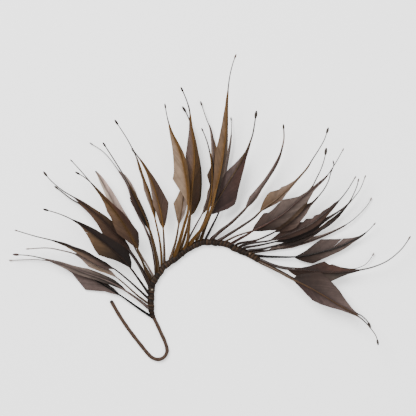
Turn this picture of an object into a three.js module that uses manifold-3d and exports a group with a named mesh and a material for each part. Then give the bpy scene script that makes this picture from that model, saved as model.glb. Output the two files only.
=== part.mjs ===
// Goose feather hat mount: dyed, stripped and cut feathers bound along a bent wire.
// It lies on a surface. Millimetres, +Z up, +X along its longest side.
// The origin is under the middle of the whole spray, on the surface that it lies on.

import * as THREE from 'three';
import Module from 'manifold-3d';
import { mergeVertices } from 'three/addons/utils/BufferGeometryUtils.js';

const wasm = await Module();
wasm.setup();

// Driving dimensions
const SPRAY_LENGTH = 362;
const PLAN_LENGTH = 401.8;
const PLAN_MIDDLE = [209.69, 207.89];
const UNIT = SPRAY_LENGTH / PLAN_LENGTH;

const WIRE_RADIUS = 1.25;
const WIRE_SIDES = 8;
const WIRE_STEPS = 26;

const BINDING_RADIUS = 2.55;
const BINDING_WRAP_RISE = 0.3;
const BINDING_HEIGHT = 2.3;
const BINDING_SIDES = 8;
const BINDING_STEPS = 36;

const QUILL_RADIUS = 0.95;
const RACHIS_RADIUS = 0.8;
const STRIPPED_RADIUS = 0.42;
const TIP_RADIUS = 0.34;
const KNOB_RADIUS = 0.62;
const KNOB_LENGTH = 2.2;
const VANE_EDGE = 0.5;
const VANE_DROOP = 7;
const SURFACE = 0;

const FIT_GAP = 0.3;
const ROUTE_STEPS = 240;
const STATION_GAP = 0.05;

// Dyes
const DYES = {
  sepia: 0x3f2e27,
  umber: 0x54402f,
  plum: 0x5a4648,
  taupe: 0x6d5a4c,
  sand: 0x94806f,
  rose: 0xa8958c,
};
const TAPE_COLOUR = 0x3a221c;
const WIRE_COLOUR = 0x44302a;

// The plan is seen from above: x runs right and y runs down, a unit being UNIT millimetres.
// The spine is the middle line of the bound stretch, from the hook's end to the far end.
const SPINE = [
  [153.5, 319], [151.4, 308], [151, 298.8], [151.8, 289], [153, 283], [156, 278], [163, 268.5],
  [174.5, 259], [189, 248.5], [205, 242.3], [224, 244.5], [245, 253], [261.6, 261.5],
];

// The bare wire: cut end, long arm, round bend, short arm, and the end inside the binding.
const WIRE = [
  [110.6, 300.6], [115.8, 310], [124.4, 323.5], [133, 335.6], [141.7, 346.4], [147.4, 353.5],
  [152, 357.9], [157.7, 359.8], [162.9, 358.2], [166.2, 354], [166.9, 349.9], [164.6, 341.3],
  [161.2, 333.8], [157.2, 325.2], [154.2, 319], [153.4, 316.6],
];

// Each feather: its shaft from the bound end to the tip, the two plan points between which it
// keeps its vane, the vane's outline on each side of the shaft, and the shaft's heights at the
// bound end, the two ends of the vane and the tip. Left and right are seen along the shaft.
const FEATHERS = [
  {
    dye: 'plum',
    shaft: [
      [152.9, 318], [137, 307.3], [121, 296], [108, 288], [95, 280], [80, 272], [60, 264],
      [40, 260], [8.5, 260.5],
    ],
    heights: [3.5, 3.4, 2.6, 1],
    vane: [[121, 296], [62, 264.5]],
    left: [[110, 293.8], [100, 290.3], [85, 290], [72, 273.6]],
    right: [[114, 288.5], [104, 281.5], [90, 275], [74, 267.5]],
  },
  {
    dye: 'rose',
    shaft: [
      [151.2, 310.5], [140, 301], [128, 292.5], [114, 284], [100, 278], [84, 272.5], [70, 267],
      [44, 258.8], [30, 255.8], [12.5, 254.4],
    ],
    heights: [3.4, 8, 9, 9],
    vane: [[128, 292.5], [46, 259.4]],
    left: [[114, 286.6], [94, 279.6], [74, 273], [58, 265.5]],
    right: [[122, 285.8], [110, 277.5], [88, 268.5], [60, 261.3]],
  },
  {
    dye: 'sand',
    shaft: [
      [150.8, 305.5], [138, 296], [128, 287], [118, 278.5], [108, 271.5], [97, 265.5], [86, 259.8],
      [75, 254], [62, 250.5], [48, 248], [26, 249],
    ],
    heights: [1.8, 12, 13, 15],
    vane: [[118, 278.5], [75, 254]],
    left: [[110, 275], [100, 271.5], [89, 267.2], [82, 260]],
    right: [[112, 271.5], [100, 263], [84, 255]],
  },
  {
    dye: 'umber',
    shaft: [
      [150.8, 301], [138, 289], [127, 279], [115, 269.3], [103, 262.5], [90, 255], [78, 249.6],
      [54, 240.8], [36, 236.3], [15, 230],
    ],
    heights: [3.4, 16, 18, 23],
    vane: [[115, 269.3], [54, 240.8]],
    left: [[106, 268.6], [96, 264.5], [77, 253.5], [66, 246.7]],
    right: [[106, 262], [84, 249.6], [66, 243]],
  },
  {
    dye: 'umber',
    shaft: [
      [150.9, 297], [140, 281], [131, 268.5], [121, 257], [110, 247], [100, 239], [90, 231],
      [74, 220.4], [60, 214], [43.5, 209],
    ],
    heights: [3.2, 19, 24, 29],
    vane: [[131, 268.5], [74, 220.4]],
    left: [[120, 262.5], [99, 255.3], [89, 238.5], [83.5, 229.5]],
    right: [[131.8, 262], [126, 248.5], [104, 234.3], [88, 225.4]],
  },
  {
    dye: 'sepia',
    shaft: [
      [151.8, 288], [146, 276], [141, 267.5], [129.5, 250], [120, 239], [111, 229], [101, 218.5],
      [90, 209], [77.5, 199.6], [62, 190], [50, 179.5], [43.5, 171.5],
    ],
    heights: [3.4, 8, 13, 18],
    vane: [[129.5, 250], [75.5, 198.2]],
    left: [[121, 249.5], [103, 234.5], [94.6, 220], [83, 207]],
    right: [[129.5, 247], [116, 225.5], [98, 210.8], [84.5, 202]],
  },
  {
    dye: 'sepia',
    shaft: [
      [151.5, 291.5], [144.5, 277], [137, 263], [127, 249.5], [115, 236], [103, 223.5], [93, 213.5],
      [80, 204.3], [70, 198.3], [60, 190.5], [54, 186],
    ],
    heights: [1.6, 3, 3, 1],
    vane: [[125, 247.3], [80, 204.3]],
    left: [[112, 239], [95, 221.5]],
    right: [[116, 232.5], [94, 210.5]],
  },
  {
    dye: 'umber',
    shaft: [
      [152.2, 282.2], [146, 270.5], [138, 249.5], [131, 236.5], [123, 223], [115.5, 212],
      [107, 201.5], [99, 191.5], [93, 184.5], [85, 177.5], [75.7, 172],
    ],
    heights: [3.4, 18, 24, 30],
    vane: [[138, 249.3], [96, 188]],
    left: [[130, 243.5], [117, 233], [107.3, 212], [103, 200]],
    right: [[139.3, 240], [138.8, 232.5], [124, 213.5], [107, 197.8]],
  },
  {
    dye: 'taupe',
    shaft: [
      [153.8, 281.5], [147, 270], [139, 255.5], [131, 241], [121, 225], [111, 210], [101, 196],
      [92, 184], [82, 172], [70.7, 159.6],
    ],
    heights: [1.6, 13, 18, 25],
    vane: [[131, 241], [101, 196]],
    left: [[120, 229], [108, 211]],
    right: [[127.5, 228], [115, 208.5]],
  },
  {
    dye: 'rose',
    shaft: [
      [155, 279], [147.8, 266.5], [136.5, 247], [129, 233], [121.5, 218], [113.5, 202],
      [106, 188.5], [100, 177.8], [95.5, 171],
    ],
    heights: [3.4, 9, 13, 16],
    vane: [[136.5, 247], [96.2, 172]],
    left: [[131, 241.5], [107.5, 200], [98.5, 179]],
    right: [[135.5, 232], [131.5, 222.5], [118, 200], [105.3, 180.5]],
  },
  {
    dye: 'sepia',
    shaft: [
      [157.6, 275], [157.4, 264], [154.9, 250], [151, 234], [146.5, 221.5], [141, 209],
      [135.5, 197.5], [131, 188], [123, 174], [113, 158], [103, 142.5],
    ],
    heights: [3.4, 11, 15, 22],
    vane: [[151, 234], [129.5, 185.5]],
    left: [[145, 225], [132, 205], [130, 192]],
    right: [[149.6, 224], [144.5, 210.5], [135.5, 193]],
  },
  {
    dye: 'sepia',
    shaft: [
      [156.3, 277], [155.7, 266], [152.9, 250], [149.6, 238.5], [147, 232.5], [141, 219],
      [135.5, 206.5], [131.5, 196], [127, 184.5], [118, 170], [104, 152.5], [89.5, 142.6],
    ],
    heights: [1.5, 3, 3, 1.5],
    vane: [[147, 232.5], [119.5, 172]],
    left: [[139.5, 220], [132, 204], [126, 185]],
    right: [[143.5, 219.5], [134, 188]],
  },
  {
    dye: 'umber',
    shaft: [
      [161.5, 270.3], [161.4, 258], [159.5, 240], [154.3, 216], [151.5, 203.5], [148.5, 192.5],
      [144.5, 180.5], [139.5, 165], [136, 156.5], [131.6, 148],
    ],
    heights: [1.8, 5.5, 9, 13],
    vane: [[155.6, 222], [137.2, 158.5]],
    left: [[150.5, 208], [143.7, 190], [141, 175]],
    right: [[155, 208], [149.5, 190], [142.5, 173]],
  },
  {
    dye: 'umber',
    shaft: [
      [164.5, 266.8], [164.3, 250], [163.3, 229.5], [161.3, 214.5], [158.3, 202], [154.7, 190],
      [150.2, 178], [141.5, 161.5], [134, 151], [127, 138.5], [115, 120],
    ],
    heights: [3.4, 14, 20, 28],
    vane: [[163.3, 229.5], [140.2, 159.5]],
    left: [[159.5, 223], [153, 204.5], [151, 190], [146, 172]],
    right: [[166.2, 221], [168.8, 203], [160.5, 187.5], [150, 171.5]],
  },
  {
    dye: 'sand',
    shaft: [
      [173.5, 259.3], [178, 247], [184, 226], [188, 212], [188.4, 200], [187.2, 187], [185.2, 174],
      [182, 158.5], [177.5, 145], [170.3, 128], [167.3, 117], [165, 104],
    ],
    heights: [3.6, 18, 25, 33],
    vane: [[188.1, 211], [169.6, 125]],
    left: [[180.2, 190], [172.8, 179], [172.8, 155], [169.3, 131]],
    right: [[190, 200], [188.8, 175], [184.2, 154], [174.8, 136]],
  },
  {
    dye: 'taupe',
    shaft: [
      [181.8, 253.5], [187.3, 242], [188.8, 230], [190.2, 216.5], [190.8, 205], [192, 190],
      [193.6, 175], [194.5, 160], [194, 146], [190.6, 118], [189, 108], [185.5, 97.5],
      [180.9, 87.3],
    ],
    heights: [3.3, 12, 17, 26],
    vane: [[190.2, 216.5], [190.1, 115]],
    left: [[188.2, 200], [185.8, 170], [185.8, 153], [188.9, 130]],
    right: [[194, 209], [200, 185], [199.8, 165], [193.5, 130]],
  },
  {
    dye: 'sepia',
    shaft: [
      [177.8, 256.5], [183.3, 241], [187, 228], [189.5, 216.5], [193.3, 202], [196.1, 186],
      [197, 170], [196, 155], [191, 125], [186, 112.5], [182.3, 106.2],
    ],
    heights: [1.5, 3.6, 4.5, 2],
    vane: [[189.5, 216.5], [191, 125]],
    left: [[191, 200], [192.5, 178], [191.8, 150]],
    right: [[194.5, 213], [200.8, 199.5], [201.6, 172], [196.5, 145]],
  },
  {
    dye: 'sand',
    shaft: [
      [168.6, 263], [173, 250.5], [176, 240], [178.5, 226], [181.2, 211.5], [182.9, 198.5],
      [183.1, 186], [182.3, 172], [180, 158], [177, 146],
    ],
    heights: [1.7, 4.5, 5, 3],
    vane: [[178.5, 226], [180.9, 163]],
    left: [[176, 216], [173.3, 203.2], [180, 189.5], [180, 175]],
    right: [[184.5, 215], [187.5, 203], [185.5, 180]],
  },
  {
    dye: 'taupe',
    shaft: [
      [187.8, 247.6], [191.8, 241.5], [197, 235], [203.3, 227], [211.8, 208], [214.6, 196.5],
      [217.5, 185], [220.3, 173], [222.6, 160.5], [224.5, 147], [226.4, 130], [227.5, 97],
      [229.5, 78], [232.5, 65], [236, 55],
    ],
    heights: [3.6, 19, 29, 43],
    vane: [[211.3, 209.5], [227.9, 92.5]],
    left: [[212.3, 195], [213.5, 175], [215.3, 152], [224.6, 107]],
    right: [[217.2, 198], [223.5, 174], [227.8, 148], [228.2, 112]],
  },
  {
    dye: 'umber',
    shaft: [
      [185.3, 251.2], [188, 241], [196.5, 224], [202, 214.3], [206.5, 203], [210, 190],
      [212.3, 176], [213.4, 162], [213.5, 148], [210.9, 130], [206.5, 119], [200.4, 101],
    ],
    heights: [1.6, 3.4, 4, 1.5],
    vane: [[201.5, 215.2], [209.5, 126.5]],
    left: [[203.5, 207], [207.2, 192.5], [210.2, 178], [211, 145]],
    right: [[207, 210], [213, 202], [216.5, 180], [215, 140]],
  },
  {
    dye: 'umber',
    shaft: [
      [195.3, 244.8], [199.5, 233], [205, 220], [208.6, 209], [210.8, 197], [212, 184],
      [212.1, 172], [211.6, 162], [210.2, 154], [207.5, 143], [205, 136], [201.5, 128],
    ],
    heights: [1.8, 9, 12, 17],
    vane: [[209.5, 204.5], [210.2, 154]],
    left: [[209.9, 186], [206.8, 175.5], [210.7, 166.5]],
    right: [[213, 192], [215, 172]],
  },
  {
    dye: 'taupe',
    shaft: [
      [204, 242.4], [211.5, 227.5], [219.3, 211], [222, 198], [224.5, 185], [226.3, 172],
      [228, 160], [229.8, 148], [231.2, 136], [231.5, 127], [231, 117],
    ],
    heights: [1.6, 3.2, 4, 1.2],
    vane: [[221, 204], [231.2, 136]],
    left: [[220.6, 182], [226.5, 156]],
    right: [[225.8, 178], [229.6, 157]],
  },
  {
    dye: 'sepia',
    shaft: [
      [199.6, 243.6], [204, 231], [210.7, 214.5], [216, 203], [223.5, 190.5], [231.5, 177.5],
      [239, 165], [249, 145], [252.5, 135], [254.8, 122], [256.3, 111],
    ],
    heights: [3.2, 13, 18, 29],
    vane: [[210.7, 214.5], [250, 142]],
    left: [[214, 203], [219, 184], [229, 168.5], [240.3, 157.6]],
    right: [[219, 212.2], [234.5, 205], [238.5, 190], [245, 164]],
  },
  {
    dye: 'umber',
    shaft: [
      [208.6, 242.2], [220, 231.5], [231, 223], [244.5, 209.8], [254.5, 197.5], [261, 188.5],
      [266.5, 180], [277, 159.8], [280.5, 148], [282.3, 138], [283.2, 124.3],
    ],
    heights: [2.2, 9, 15, 23],
    vane: [[244.5, 209.8], [280.3, 149]],
    left: [[248.5, 197.5], [258, 186], [270.2, 168]],
    right: [[254, 202], [263, 188], [273, 171]],
  },
  {
    dye: 'taupe',
    shaft: [
      [215, 242.7], [224, 237.5], [246, 223.5], [254, 217.8], [260.3, 211.7], [268, 205.5],
      [277, 199], [285, 192], [292, 185], [306.3, 169.2], [312, 160], [319, 149], [324, 140],
      [328.1, 127.7],
    ],
    heights: [3.4, 11, 18, 27],
    vane: [[260.3, 211.7], [309, 164.8]],
    left: [[264.2, 199], [270, 191.7], [283, 187], [296, 179]],
    right: [[270, 207.5], [281.5, 201], [290.5, 188.2]],
  },
  {
    dye: 'plum',
    shaft: [
      [229, 245.2], [240, 238.6], [247, 234.8], [252, 231.3], [262, 226.5], [272, 221], [283, 214],
      [292, 206.3], [312.5, 188.5], [325.6, 177.2], [334, 165], [343.2, 148.5],
    ],
    heights: [3.5, 21, 27, 38],
    vane: [[252, 231.3], [326.5, 176.5]],
    left: [[256, 223], [262.5, 213.5], [281, 200.5], [301, 195.3], [313, 186.2]],
    right: [[265, 230.8], [280, 225.5], [308.5, 200.5], [314.5, 190.5]],
  },
  {
    dye: 'taupe',
    shaft: [
      [221, 243.9], [236, 236.3], [250, 231.5], [263, 227.3], [275, 222], [287, 214], [297, 205],
      [311.5, 187.5], [316.5, 178], [321, 168.5], [324.3, 158], [325.9, 148],
    ],
    heights: [1.8, 16.5, 22.5, 32],
    vane: [[257, 229.5], [311.5, 187.5]],
    left: [[270, 221.5], [290, 207]],
    right: [[279, 229.8], [299, 214], [307, 204.5]],
  },
  {
    dye: 'umber',
    shaft: [
      [233, 247.4], [238, 244], [245, 242.2], [252, 241.2], [258, 239.7], [266, 236.3],
      [274, 232.3], [286, 225], [295, 218], [304, 209.5], [317, 197.8], [323, 190.5], [328, 181.5],
      [330.5, 173], [333.4, 165], [332.7, 160.5],
    ],
    heights: [3.4, 13.5, 19, 26],
    vane: [[274, 232.3], [317, 197.8]],
    left: [[287, 220], [307, 203.8]],
    right: [[283, 231.5], [299.5, 221.5], [308.5, 210.5]],
  },
  {
    dye: 'umber',
    shaft: [
      [236.5, 249.2], [242, 245.8], [250, 243.6], [260, 242.1], [269, 240.8], [283, 236.3],
      [295, 231.8], [307, 226.5], [317, 220], [338.5, 201], [347, 190.5], [355.8, 176],
    ],
    heights: [3.4, 10.5, 15.5, 23],
    vane: [[269, 241], [338.5, 201]],
    left: [[285, 228.5], [303, 221.9], [314, 216], [332, 205]],
    right: [[290, 238.3], [314, 228], [327, 216.5]],
  },
  {
    dye: 'sepia',
    shaft: [
      [240, 251], [244.5, 248], [251, 246.6], [259, 245.3], [266, 243.9], [277, 241.3],
      [290, 237.8], [303, 232.8], [315, 226.3], [345, 206.8], [350, 201], [354.5, 192],
      [357, 185.5], [358.6, 178.5],
    ],
    heights: [1.6, 7.5, 12, 18],
    vane: [[272, 242.6], [346.5, 204.8]],
    left: [[296, 231.5], [330, 215.5]],
    right: [[290, 242], [312, 233], [335, 214.8]],
  },
  {
    dye: 'sepia',
    shaft: [
      [244, 253], [248.5, 250.9], [256, 249.9], [264, 248.8], [271, 246.9], [283, 244.3],
      [297, 240.8], [310, 235.7], [320, 230.6], [328, 225.2], [344, 209.3], [352.5, 199.5],
      [360, 189.5], [365.8, 175],
    ],
    heights: [3, 4.6, 8, 12],
    vane: [[274, 246.3], [345.5, 207.5]],
    left: [[297, 236.3], [318, 227.5], [338, 212.5]],
    right: [[297, 245], [325, 228.5], [340, 216]],
  },
  {
    dye: 'plum',
    shaft: [
      [248, 255], [252.5, 252.9], [260, 251.6], [266, 251], [273, 250], [286, 247.5], [300, 243.9],
      [313, 240], [338, 229.4], [352, 220.8], [362, 211.8], [368.5, 204], [372.1, 197.5],
    ],
    heights: [1.6, 2.4, 3, 1.2],
    vane: [[268, 250.7], [344.5, 225.7]],
    left: [[276, 244.6], [297, 239], [322, 234.6]],
    right: [[293, 248], [322, 238.5]],
  },
  {
    dye: 'sepia',
    shaft: [
      [250, 254.6], [255, 255.5], [263, 256.4], [278, 257], [294, 257], [307, 255.6], [318, 253.2],
      [330, 250], [342, 245.8], [361, 236.3], [369, 230], [375.7, 222.7],
    ],
    heights: [3.7, 4.2, 6, 10],
    vane: [[294, 257], [364.5, 233.6]],
    left: [[304, 251.8], [321.5, 239.3], [345, 239], [354, 238]],
    right: [[302, 261], [314, 263.8], [332, 255.5], [350, 245]],
  },
  {
    dye: 'umber',
    shaft: [
      [257.5, 258.6], [266, 262.2], [278, 267], [290, 269.5], [304, 270.6], [318, 272],
      [332, 272.8], [345, 272.2], [360, 270], [372, 267.3], [387, 261], [400, 250.5], [406, 243],
      [410.3, 236],
    ],
    heights: [3.5, 9, 12, 18],
    vane: [[287.5, 269], [360, 270]],
    left: [[308, 267], [324.5, 261.2], [331, 264.6], [345, 268.9]],
    right: [[304, 278], [318, 283], [331.5, 281.3], [348, 274.2]],
  },
  {
    dye: 'taupe',
    shaft: [
      [258.5, 258.8], [268, 262.8], [280, 266.6], [297, 268.4], [310, 268.4], [322, 268.9],
      [335, 269.4], [352, 269.4], [359, 267.7], [365, 265], [370, 260], [374.5, 253],
    ],
    heights: [1.5, 3.2, 3.4, 1.5],
    vane: [[297, 268.4], [352, 269.4]],
    left: [[324, 264]],
    right: [[312, 272], [335, 272.5]],
  },
  {
    dye: 'umber',
    shaft: [
      [256.5, 260.6], [268, 266.1], [280, 272.3], [292.5, 279.4], [303, 284.3], [314, 290],
      [326, 297], [338, 304.5], [357.5, 315.8], [365, 322], [371.5, 329.5], [376, 336.5],
      [378, 345],
    ],
    heights: [3.5, 14, 17, 21],
    vane: [[292.5, 279.4], [357.5, 315.8]],
    left: [[303, 275.3], [321, 272.3], [331.5, 281.5], [345.5, 299.5]],
    right: [[297, 284.5], [312.5, 300.4], [324.5, 305.5], [346, 311.8]],
  },
  {
    dye: 'taupe',
    shaft: [
      [257.5, 260.9], [270, 266.4], [284, 273.3], [297, 280.2], [309, 286], [321, 292.3],
      [333, 299.8], [357, 313.6], [362, 316], [368, 321.8], [370.8, 328.5],
    ],
    heights: [1.5, 3, 3, 1],
    vane: [[300, 281.6], [357, 313.6]],
    left: [[326, 289], [345, 302]],
    right: [[312, 294], [335, 305.5]],
  },
];

// Places a plan point at a height
function onPlan([x, y], z = 0) {
  return new THREE.Vector3((x - PLAN_MIDDLE[0]) * UNIT, (PLAN_MIDDLE[1] - y) * UNIT, z);
}

// Evenly spaced points along a smooth line through plan points
function smoothLine(points) {
  const curve = new THREE.CatmullRomCurve3(points.map((p) => onPlan(p)), false, 'centripetal');
  return curve.getSpacedPoints(ROUTE_STEPS);
}

// Where along a line, from 0 to 1, it passes nearest to a point, and how far off it is
function standOn(line, point) {
  const gaps = line.map((p) => p.distanceTo(point));
  const nearest = gaps.indexOf(Math.min(...gaps));
  return { along: nearest / ROUTE_STEPS, out: gaps[nearest] };
}

// A smooth value between rows of [position, value]
function easeBetween(rows, position) {
  const last = rows.length - 2;
  const i = Math.min(last, Math.max(0, rows.findIndex((row) => row[0] > position) - 1));
  const cell = position >= rows[last + 1][0] ? last : i;
  const slope = (j) => {
    const a = rows[Math.max(0, j - 1)];
    const b = rows[Math.min(last + 1, j + 1)];
    return (b[1] - a[1]) / (b[0] - a[0]);
  };
  const [x0, y0] = rows[cell];
  const [x1, y1] = rows[cell + 1];
  const span = x1 - x0;
  const t = Math.min(1, Math.max(0, (position - x0) / span));
  const rise = (3 - 2 * t) * t * t;
  const lean = t * (1 - t) * ((1 - t) * slope(cell) - t * slope(cell + 1)) * span;
  return y0 + (y1 - y0) * rise + lean;
}

// A straight-edged value between rows of [position, value]
function stepBetween(rows, position) {
  const next = rows.findIndex((row) => row[0] >= position);
  if (next <= 0) {
    return next === 0 ? rows[0][1] : rows[rows.length - 1][1];
  }
  const [x0, y0] = rows[next - 1];
  const [x1, y1] = rows[next];
  return y0 + ((y1 - y0) * (position - x0)) / (x1 - x0);
}

// A closed solid through rings with the same number of points, capped at both ends
function loft(rings) {
  const size = rings[0].length;
  const faces = [];
  for (let r = 0; r < rings.length - 1; r += 1) {
    for (let i = 0; i < size; i += 1) {
      const a = r * size + i;
      const b = r * size + ((i + 1) % size);
      faces.push(a, b, a + size, b, b + size, a + size);
    }
  }
  const end = (rings.length - 1) * size;
  for (let i = 1; i < size - 1; i += 1) {
    faces.push(0, i + 1, i, end, end + i, end + i + 1);
  }
  const geometry = new THREE.BufferGeometry().setFromPoints(rings.flat());
  geometry.setIndex(faces);
  return geometry;
}

// What a feather's loft needs: its line, its vane's span and its outline on each side
function layOut(feather) {
  const line = smoothLine(feather.shaft);
  const [from, to] = feather.vane.map((p) => standOn(line, onPlan(p)).along);
  const outline = (points) => {
    const rows = points.map((p) => standOn(line, onPlan(p))).map(({ along, out }) => [along, out]);
    return [[from, 0], ...rows, [to, 0]].sort((a, b) => a[0] - b[0]);
  };
  const [bound, start, finish, tip] = feather.heights;
  return {
    line,
    from,
    to,
    left: outline(feather.left),
    right: outline(feather.right),
    rise: [[0, bound], [from, start], [to, finish], [1, tip]],
  };
}

// The shaft's radius: quill, rachis, stripped shaft and the small knob at the tip
function shaftRadius({ from, to }, along, knobFrom) {
  const bare = [[0, QUILL_RADIUS], [from, RACHIS_RADIUS], [to, STRIPPED_RADIUS]];
  return stepBetween([...bare, [knobFrom, TIP_RADIUS], [1, KNOB_RADIUS]], along);
}

// The point, direction and sideways directions of a feather at a place along it
function frameAt({ line, rise }, along) {
  const at = (u) => {
    const place = Math.min(1, Math.max(0, u)) * ROUTE_STEPS;
    const i = Math.min(ROUTE_STEPS - 1, Math.floor(place));
    const point = line[i].clone().lerp(line[i + 1], place - i);
    point.z = easeBetween(rise, Math.min(1, Math.max(0, u)));
    return point;
  };
  const ahead = at(along + 1 / ROUTE_STEPS).sub(at(along - 1 / ROUTE_STEPS)).normalize();
  const side = new THREE.Vector3(-ahead.y, ahead.x, 0).normalize();
  const up = ahead.clone().cross(side);
  return { point: at(along), ahead, side, up };
}

// One ring of a feather. A bare shaft is an octagon, and a vane spreads its outer corners.
function featherRing(plan, along, radius, leftReach, rightReach) {
  const { point, side, up } = frameAt(plan, along);
  const droop = THREE.MathUtils.degToRad(VANE_DROOP);
  const put = (across, above) => {
    const place = point.clone().addScaledVector(side, across).addScaledVector(up, above);
    place.z = Math.max(place.z, SURFACE);
    return place;
  };
  const wing = (reach, sign) => {
    const open = reach > radius * 1.3;
    const across = sign * Math.max(reach, radius);
    const sink = open ? Math.abs(across) * Math.tan(droop) : 0;
    const half = open ? VANE_EDGE / 2 : radius * 0.4;
    const shoulder = open ? put(sign * radius, radius * 0.35) : put(sign * radius * 0.65, radius * 0.8);
    const lower = put(across, -sink - half);
    const upper = put(across, half - sink);
    upper.z = Math.max(upper.z, lower.z + half * 1.6);
    return { shoulder, lower, upper };
  };
  const left = wing(leftReach, 1);
  const right = wing(rightReach, -1);
  const ridge = put(0, radius);
  const keel = put(0, -radius);
  return [left.upper, left.shoulder, ridge, right.shoulder, right.upper, right.lower, keel, left.lower];
}

// Where a feather's rings stand: few along bare shaft, and one at each corner of the vane
function stations({ from, to, left, right, line }) {
  const length = line[0].distanceTo(line[1]) * ROUTE_STEPS;
  const knobFrom = 1 - KNOB_LENGTH / length;
  const corners = [...left, ...right].map((row) => row[0]).sort((a, b) => a - b);
  const isEnd = (u, i) => i === 0 || u === from || u === to;
  const kept = corners.filter((u, i) => isEnd(u, i) || u - corners[i - 1] > STATION_GAP);
  const vane = [...new Set([from, ...kept, to])].sort((a, b) => a - b);
  const bare = (u0, u1, parts) => parts.map((part) => u0 + (u1 - u0) * part);
  const quill = bare(0, from, [0, 0.3, 0.65]);
  const tip = knobFrom - to > 0.06 ? bare(to, knobFrom, [0.5]) : [];
  return { knobFrom, places: [...quill, ...vane, ...tip, knobFrom, 1] };
}

function featherGeometry(feather) {
  const plan = layOut(feather);
  const { knobFrom, places } = stations(plan);
  const rings = places.map((along) => {
    const radius = shaftRadius(plan, along, knobFrom);
    return featherRing(plan, along, radius, stepBetween(plan.left, along), stepBetween(plan.right, along));
  });
  return loft(rings);
}

// The six-sided hole that a feather's quill fits in, a little wider and deeper than the quill
function quillHole(feather) {
  const plan = layOut(feather);
  const radius = (QUILL_RADIUS + FIT_GAP) / Math.cos(Math.PI / 6);
  const hexagon = (along, shift) => {
    const { point, ahead, side, up } = frameAt(plan, along);
    return Array.from({ length: 6 }, (_, i) => {
      const corner = point.clone().addScaledVector(ahead, shift);
      corner.addScaledVector(side, radius * Math.cos((i * Math.PI) / 3));
      return corner.addScaledVector(up, radius * Math.sin((i * Math.PI) / 3));
    });
  };
  return loft([hexagon(0, -FIT_GAP), hexagon(plan.from * 0.3, 0)]);
}

// A bar along plan points, flat wherever it would go below the surface
function bar(points, rise, sides, steps, radiusAt) {
  const line = smoothLine(points);
  const rings = [];
  for (let s = 0; s <= steps; s += 1) {
    const { point, side, up } = frameAt({ line, rise }, s / steps);
    const ring = [];
    for (let i = 0; i < sides; i += 1) {
      const angle = ((i + 0.5) / sides) * 2 * Math.PI;
      const corner = point.clone();
      corner.addScaledVector(side, radiusAt(s) * Math.cos(angle));
      corner.addScaledVector(up, radiusAt(s) * Math.sin(angle));
      corner.z = Math.max(corner.z, SURFACE);
      ring.push(corner);
    }
    rings.push(ring);
  }
  return loft(rings);
}

// The spiral-wrapped binding has a ridge at every other ring
function bindingGeometry() {
  const rise = [[0, BINDING_HEIGHT], [1, BINDING_HEIGHT]];
  const radiusAt = (s) => BINDING_RADIUS + (s % 2) * BINDING_WRAP_RISE;
  return bar(SPINE, rise, BINDING_SIDES, BINDING_STEPS, radiusAt);
}

// The wire lies on the surface, also where it goes into the binding
function wireGeometry(radius) {
  const height = WIRE_RADIUS * Math.cos(Math.PI / WIRE_SIDES);
  const rise = [[0, height], [1, height]];
  return bar(WIRE, rise, WIRE_SIDES, WIRE_STEPS, () => radius);
}

// Closed geometry to a solid that can be cut, and back
function toSolid(geometry) {
  const bare = geometry.clone();
  bare.deleteAttribute('normal');
  bare.deleteAttribute('uv');
  const merged = mergeVertices(bare, 1e-4);
  return new wasm.Manifold(new wasm.Mesh({
    numProp: 3,
    vertProperties: new Float32Array(merged.attributes.position.array),
    triVerts: new Uint32Array(merged.index.array),
  }));
}

function toGeometry(solid) {
  const mesh = solid.getMesh();
  const geometry = new THREE.BufferGeometry();
  geometry.setAttribute('position', new THREE.BufferAttribute(mesh.vertProperties, 3));
  geometry.setIndex(new THREE.BufferAttribute(mesh.triVerts, 1));
  return geometry;
}

function piece(name, geometry, color, roughness) {
  geometry.computeVertexNormals();
  const material = new THREE.MeshStandardMaterial({ color, roughness, metalness: 0, flatShading: true });
  const mesh = new THREE.Mesh(geometry, material);
  mesh.name = name;
  return mesh;
}

const hatMount = new THREE.Group();

hatMount.add(piece('wire', wireGeometry(WIRE_RADIUS), WIRE_COLOUR, 0.8));

let binding = toSolid(bindingGeometry());
binding = binding.subtract(toSolid(wireGeometry(WIRE_RADIUS + FIT_GAP)));
FEATHERS.forEach((feather) => {
  binding = binding.subtract(toSolid(quillHole(feather)));
});
hatMount.add(piece('binding', toGeometry(binding), TAPE_COLOUR, 0.75));

FEATHERS.forEach((feather, i) => {
  const name = `feather_${String(i + 1).padStart(2, '0')}`;
  hatMount.add(piece(name, featherGeometry(feather), DYES[feather.dye], 0.55));
});

export default hatMount;
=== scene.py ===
# A goose feather hat mount: dyed, stripped and lance-cut feathers bound along a bent wire.
# Metres, +Z up, lying on the floor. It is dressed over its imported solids, node by node.

import math

import bpy
import numpy as np
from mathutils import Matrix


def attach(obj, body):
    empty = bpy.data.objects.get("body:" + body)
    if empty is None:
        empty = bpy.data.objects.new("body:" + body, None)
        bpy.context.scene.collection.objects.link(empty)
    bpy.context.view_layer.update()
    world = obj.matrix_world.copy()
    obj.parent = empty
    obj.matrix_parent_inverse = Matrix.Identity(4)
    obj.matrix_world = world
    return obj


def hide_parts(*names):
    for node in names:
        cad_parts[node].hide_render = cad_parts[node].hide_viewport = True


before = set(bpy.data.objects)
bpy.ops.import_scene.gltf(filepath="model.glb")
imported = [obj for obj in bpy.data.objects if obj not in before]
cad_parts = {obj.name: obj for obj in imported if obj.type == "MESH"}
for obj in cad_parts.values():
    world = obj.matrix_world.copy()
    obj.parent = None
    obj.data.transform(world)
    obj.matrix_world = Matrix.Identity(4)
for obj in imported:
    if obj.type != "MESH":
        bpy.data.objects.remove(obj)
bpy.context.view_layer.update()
random = np.random.default_rng(41)

# The plan is seen from above: x runs right and y runs down, a unit being UNIT metres.
UNIT = 0.362 / 401.8
PLAN_MIDDLE = (209.69, 207.89)
LINE_STEPS = 400

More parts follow.
